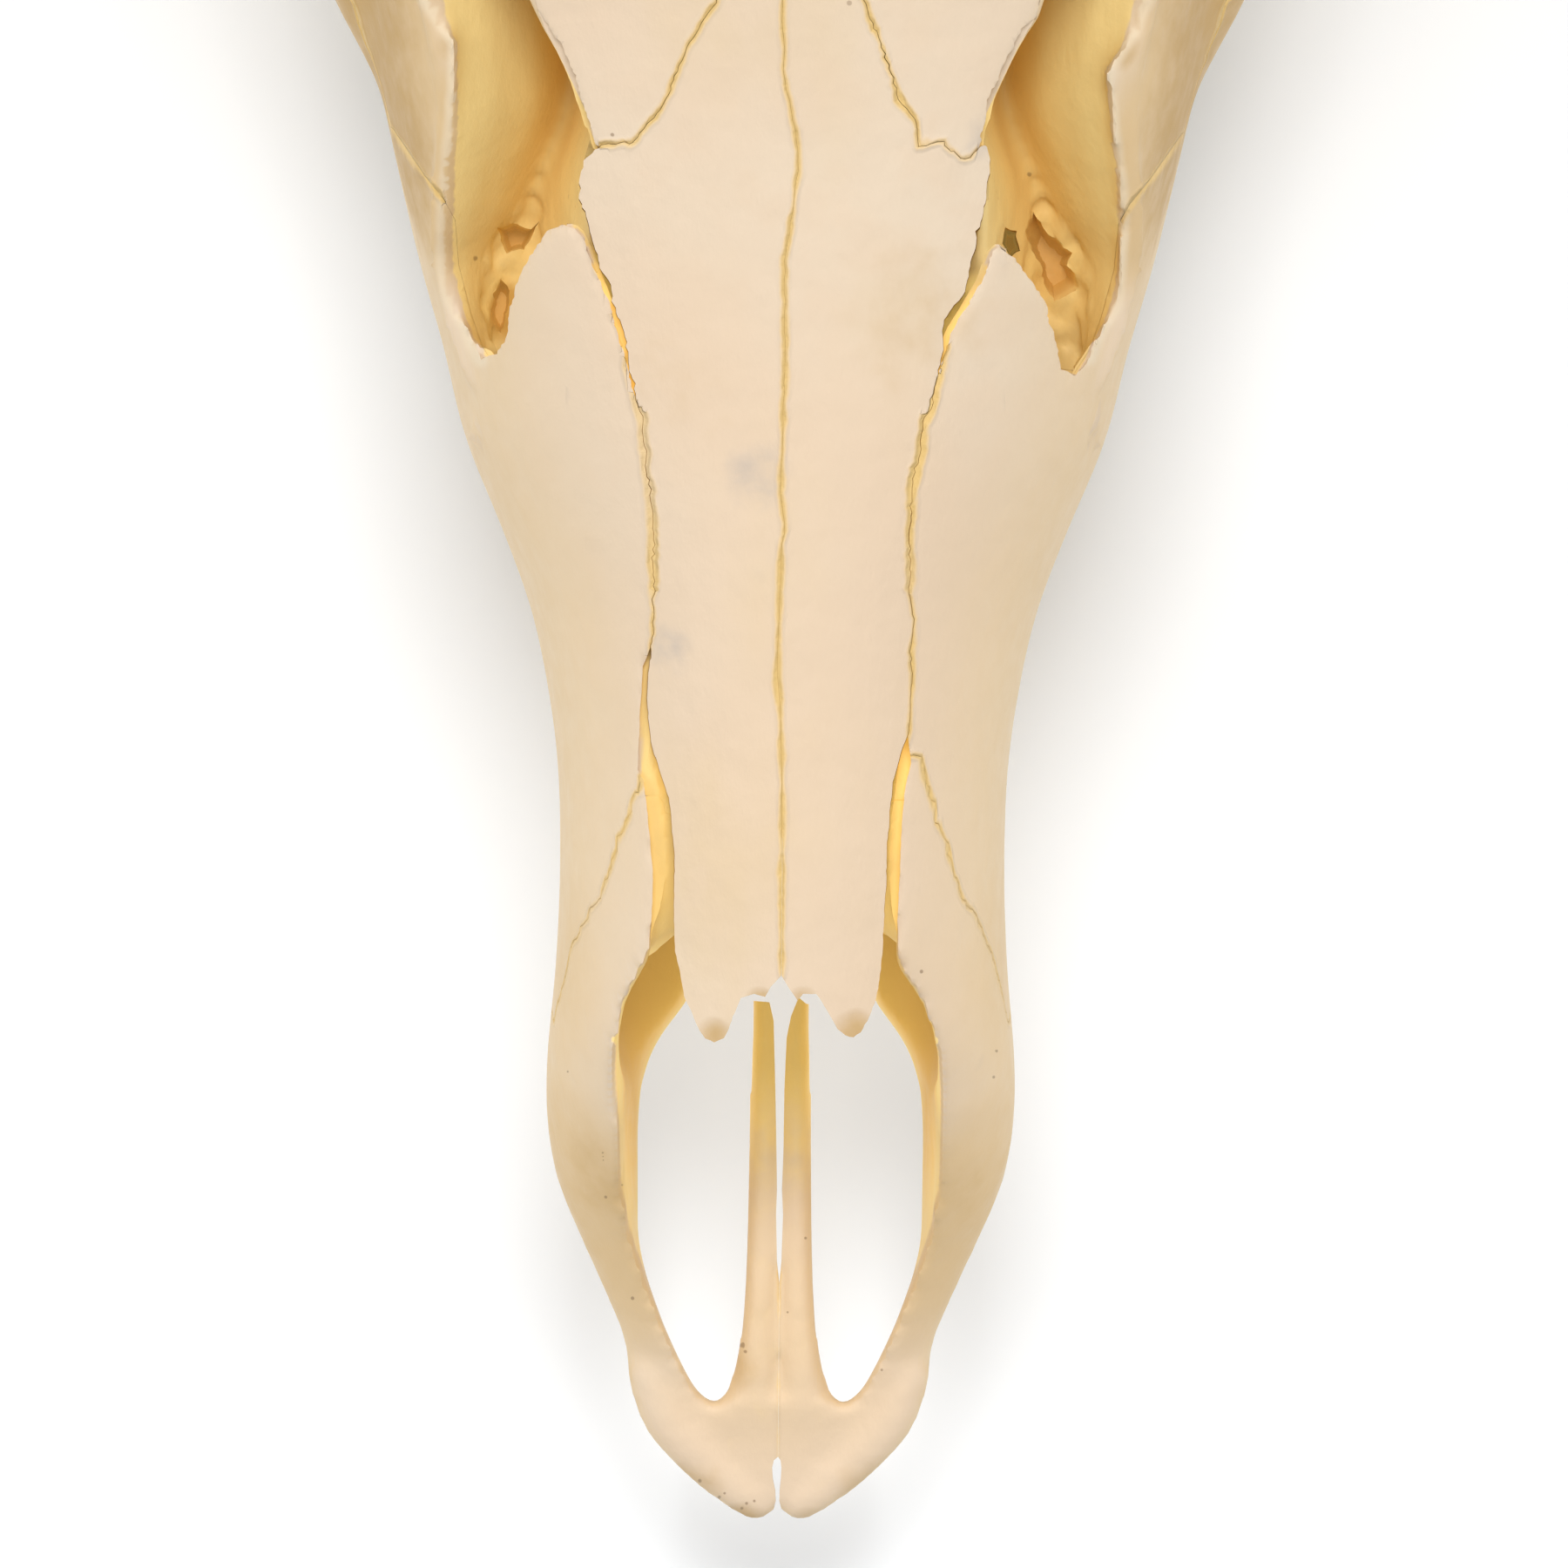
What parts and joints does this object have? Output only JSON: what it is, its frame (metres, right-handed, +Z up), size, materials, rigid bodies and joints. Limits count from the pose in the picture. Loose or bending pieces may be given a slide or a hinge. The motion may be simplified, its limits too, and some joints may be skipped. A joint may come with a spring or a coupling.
{
  "type": "deer skull with antlers",
  "caption": "Cleaned skull of a white-tailed deer buck with its branched antlers, lower jaw missing, resting on its back teeth and the base of the skull.",
  "frame": {"origin": "middle of the bounding box in plan, on the surface that the skull rests on", "axes": "+X to the side, across both antlers, which is towards the right of a viewer who looks down with the snout towards them; -Y towards the tip of the snout; +Z up"},
  "size_m": [0.4306, 0.2829, 0.3838],
  "materials": {
    "bone": "dry matte bone, pale ivory with yellower patches",
    "antler": "dull brown ridged antler with paler polished tips"
  },
  "bodies": {
    "root": {"nasal_left": "bone", "nasal_right": "bone", "premaxilla_left": "bone", "premaxilla_right": "bone", "lacrimal_left": "bone", "lacrimal_right": "bone", "frontal_left": "bone", "frontal_right": "bone", "zygomatic_left": "bone", "zygomatic_right": "bone", "palatine_left": "bone", "palatine_right": "bone", "maxilla_left": "bone", "maxilla_right": "bone", "temporal_left": "bone", "temporal_right": "bone", "vomer": "bone", "occipital": "bone", "parietal": "bone", "sphenoid": "bone", "beam_lower_left": "antler", "beam_lower_right": "antler", "beam_middle_left": "antler", "beam_middle_right": "antler", "beam_upper_left": "antler", "beam_upper_right": "antler", "brow_tine_left": "antler", "brow_tine_right": "antler", "second_tine_left": "antler", "second_tine_right": "antler", "third_tine_left": "antler", "third_tine_right": "antler"}
  },
  "joints": []
}
